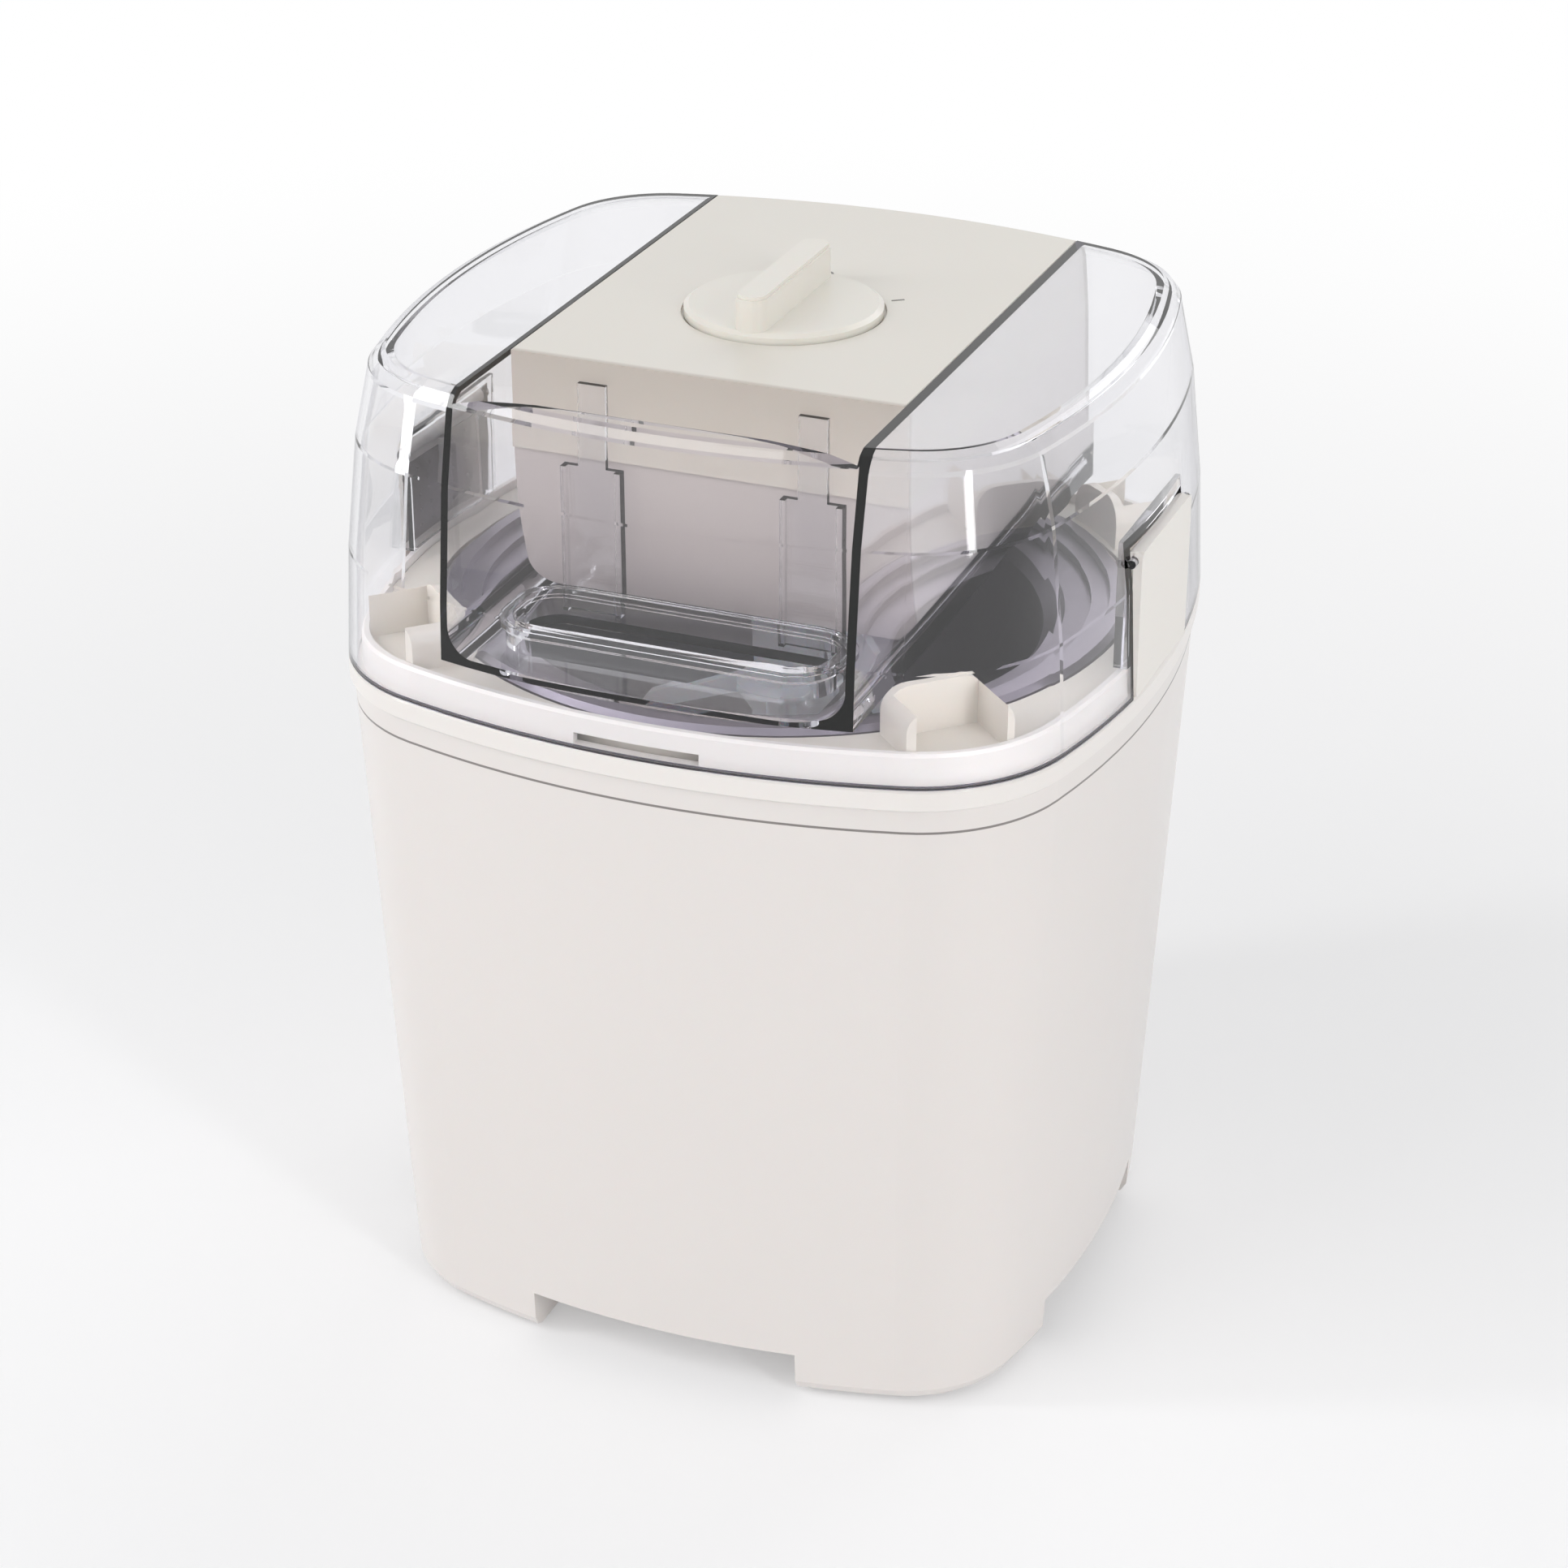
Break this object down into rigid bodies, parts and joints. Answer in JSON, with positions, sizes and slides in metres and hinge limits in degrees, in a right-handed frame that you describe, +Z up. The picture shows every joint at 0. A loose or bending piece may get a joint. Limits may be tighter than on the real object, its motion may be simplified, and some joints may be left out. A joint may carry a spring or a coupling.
{
  "type": "ice cream maker",
  "caption": "Rounded square ice cream maker with a freezer bowl, geared drive unit in a clear lid, turning paddle, side latches and a rotary knob.",
  "frame": {"origin": "under the centre of the feet, on the surface that the machine stands on", "axes": "+Z up, -Y towards the feed side of the lid, +Y towards the cable inlet, X from latch to latch"},
  "size_m": [0.22, 0.21, 0.297],
  "materials": {
    "cream_plastic": "satin gloss",
    "beige_plastic": "satin",
    "grey_rubber": "matte",
    "zinc_screw": "bright zinc",
    "bowl_coating": "dark metallic coating",
    "bowl_jacket_plastic": "satin",
    "coolant_gel": "sealed gel",
    "clear_plastic": "clear, slightly smoky",
    "clear_pin": "clear",
    "white_plastic": "satin",
    "steel": "ground",
    "motor_can": "zinc plated",
    "dark_plastic": "satin",
    "gear_plastic": "moulded",
    "brass_pinion": "machined",
    "paddle_plastic": "milky translucent"
  },
  "bodies": {
    "base": {"base_shell": "cream_plastic", "shoulder_ring": "cream_plastic", "bowl_holder": "beige_plastic", "foot_pads": "grey_rubber", "base_screws": "zinc_screw"},
    "bowl": {"bowl_liner": "bowl_coating", "bowl_seal": "grey_rubber", "bowl_jacket": "bowl_jacket_plastic", "bowl_coolant": "coolant_gel"},
    "lid": {"lid_shell": "clear_plastic", "latch_pins": "clear_pin"},
    "latch_right": {"latch_right": "cream_plastic"},
    "latch_left": {"latch_left": "cream_plastic"},
    "drive_unit": {"drive_case": "beige_plastic", "drive_cover": "cream_plastic", "case_screws": "zinc_screw", "shaft_bush": "white_plastic", "gear_axles": "steel", "gear_plate": "steel", "plate_screws": "zinc_screw", "motor": "motor_can", "rotary_switch": "dark_plastic", "cable_gland": "dark_plastic"},
    "output": {"output_gear": "gear_plastic", "drive_shaft": "steel", "shaft_ring": "white_plastic"},
    "second": {"second_gear": "gear_plastic"},
    "first": {"first_gear": "gear_plastic"},
    "pinion": {"motor_pinion": "brass_pinion"},
    "paddle": {"paddle": "paddle_plastic"},
    "knob": {"knob": "cream_plastic"}
  },
  "joints": [
    {"name": "bowl_lift", "type": "slide", "parent": "base", "child": "bowl", "axis": [0, 0, 1], "range_m": [0, 0.17]},
    {"name": "lid_lift", "type": "slide", "parent": "bowl", "child": "lid", "axis": [0, 0, 1], "range_m": [0, 0.14]},
    {"name": "latch_right_swing", "type": "hinge", "parent": "lid", "child": "latch_right", "pos_m": [0.1072, 0, 0.238], "axis": [0, -1, 0], "range_deg": [0, 70]},
    {"name": "latch_left_swing", "type": "hinge", "parent": "lid", "child": "latch_left", "pos_m": [-0.1072, 0, 0.238], "axis": [0, 1, 0], "range_deg": [0, 70]},
    {"name": "drive_unit_lift", "type": "slide", "parent": "lid", "child": "drive_unit", "axis": [0, 0, 1], "range_m": [0, 0.1]},
    {"name": "output_spin", "type": "hinge", "parent": "drive_unit", "child": "output", "pos_m": [0, 0, 0.22], "axis": [0, 0, 1], "continuous": true},
    {"name": "second_spin", "type": "hinge", "parent": "drive_unit", "child": "second", "pos_m": [0.01197, 0.02531, 0.226], "axis": [0, 0, 1], "continuous": true},
    {"name": "first_spin", "type": "hinge", "parent": "drive_unit", "child": "first", "pos_m": [-0.01997, 0.02727, 0.232], "axis": [0, 0, 1], "continuous": true},
    {"name": "pinion_spin", "type": "hinge", "parent": "drive_unit", "child": "pinion", "pos_m": [0.00005, 0.05597, 0.236], "axis": [0, 0, 1], "continuous": true},
    {"name": "paddle_spin", "type": "hinge", "parent": "lid", "child": "paddle", "pos_m": [0, 0, 0.15], "axis": [0, 0, 1], "continuous": true},
    {"name": "knob_turn", "type": "hinge", "parent": "drive_unit", "child": "knob", "pos_m": [0, 0, 0.285], "axis": [0, 0, -1], "range_deg": [0, 54]}
  ],
  "couplings": [
    {"joint": "second_spin", "follows": "output_spin", "ratio": -3},
    {"joint": "first_spin", "follows": "output_spin", "ratio": 10.714},
    {"joint": "pinion_spin", "follows": "output_spin", "ratio": -42.857},
    {"joint": "paddle_spin", "follows": "output_spin", "ratio": 1}
  ]
}
